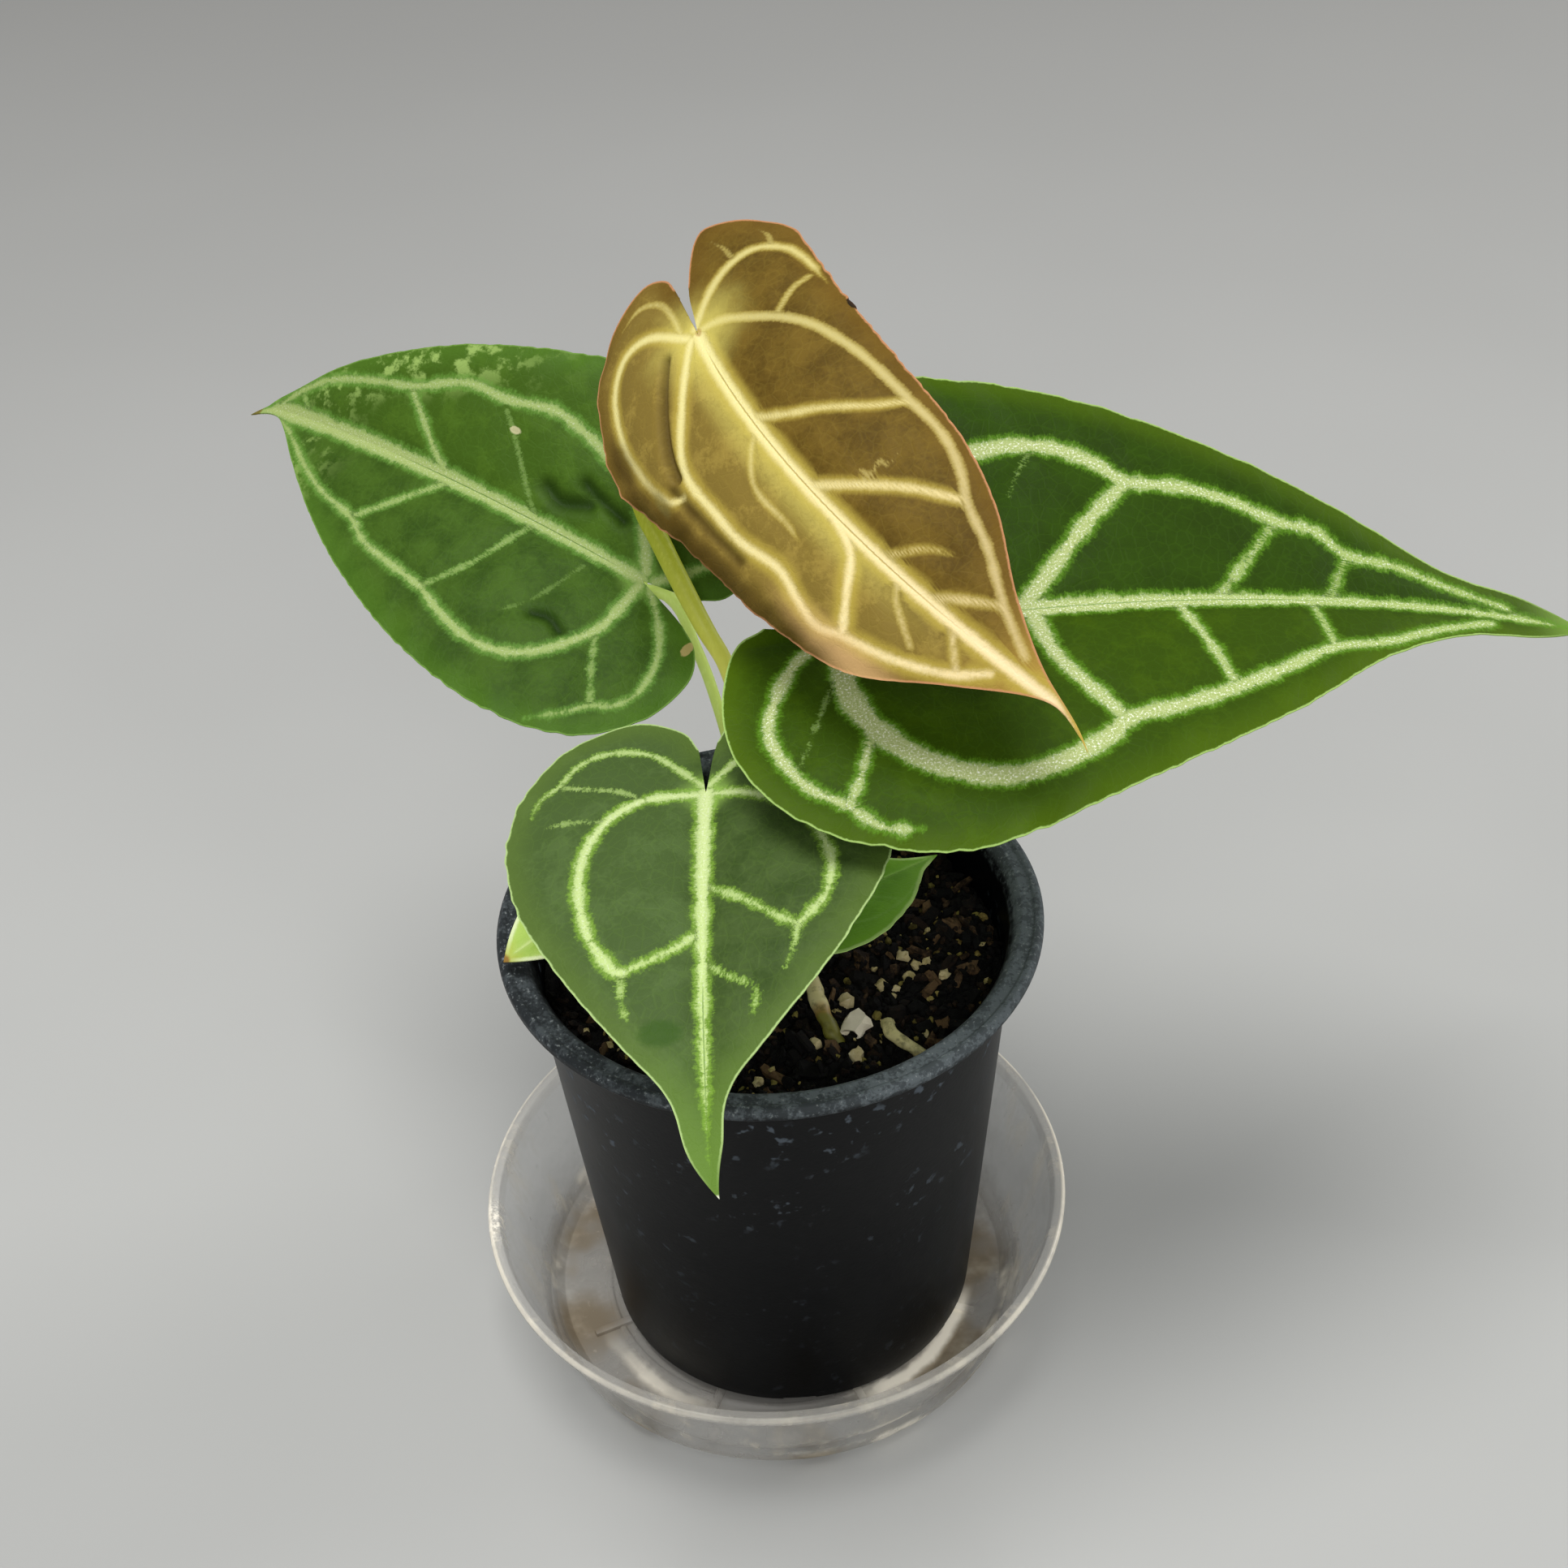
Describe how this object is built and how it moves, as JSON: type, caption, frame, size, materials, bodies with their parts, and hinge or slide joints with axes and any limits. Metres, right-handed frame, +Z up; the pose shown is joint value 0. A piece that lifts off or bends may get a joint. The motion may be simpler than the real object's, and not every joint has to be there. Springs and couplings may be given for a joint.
{
  "type": "potted crystal anthurium",
  "caption": "houseplant with heart-shaped, pale-veined leaves on slim stalks, rooted in bark mix in a black grower's pot that stands in a clear drip saucer",
  "frame": {"origin": "middle of the saucer's underside", "axes": "+Z up, -Y to the front, where the front leaf hangs over the rim, +X to the right, where the largest leaf points"},
  "size_m": [0.2745, 0.2081, 0.2309],
  "materials": {
    "clear_plastic": "clear, lightly scuffed",
    "black_plastic": "satin, dusty at the rim",
    "soil_mix": "coarse bark, peat and perlite",
    "crown_tissue": "fibrous, papery sheaths",
    "root_tissue": "waxy",
    "bronze_leaf": "satin, pale veined",
    "bronze_stalk": "satin",
    "deep_leaf": "satin, pale veined",
    "silver_veined_leaf": "velvety, silver veined",
    "soft_leaf": "satin, pale veined",
    "pale_leaf": "satin",
    "plain_leaf": "satin",
    "green_stalk": "satin"
  },
  "bodies": {
    "root": {"saucer": "clear_plastic", "pot": "black_plastic", "soil": "soil_mix", "crown": "crown_tissue", "aerial_root": "root_tissue", "surface_root": "root_tissue", "top_blade": "bronze_leaf", "top_stalk": "bronze_stalk", "left_blade": "deep_leaf", "left_stalk": "green_stalk", "right_blade": "silver_veined_leaf", "right_stalk": "green_stalk", "front_blade": "soft_leaf", "front_stalk": "green_stalk", "rim_blade": "pale_leaf", "rim_stalk": "green_stalk", "low_blade": "plain_leaf", "low_stalk": "green_stalk"}
  },
  "joints": []
}
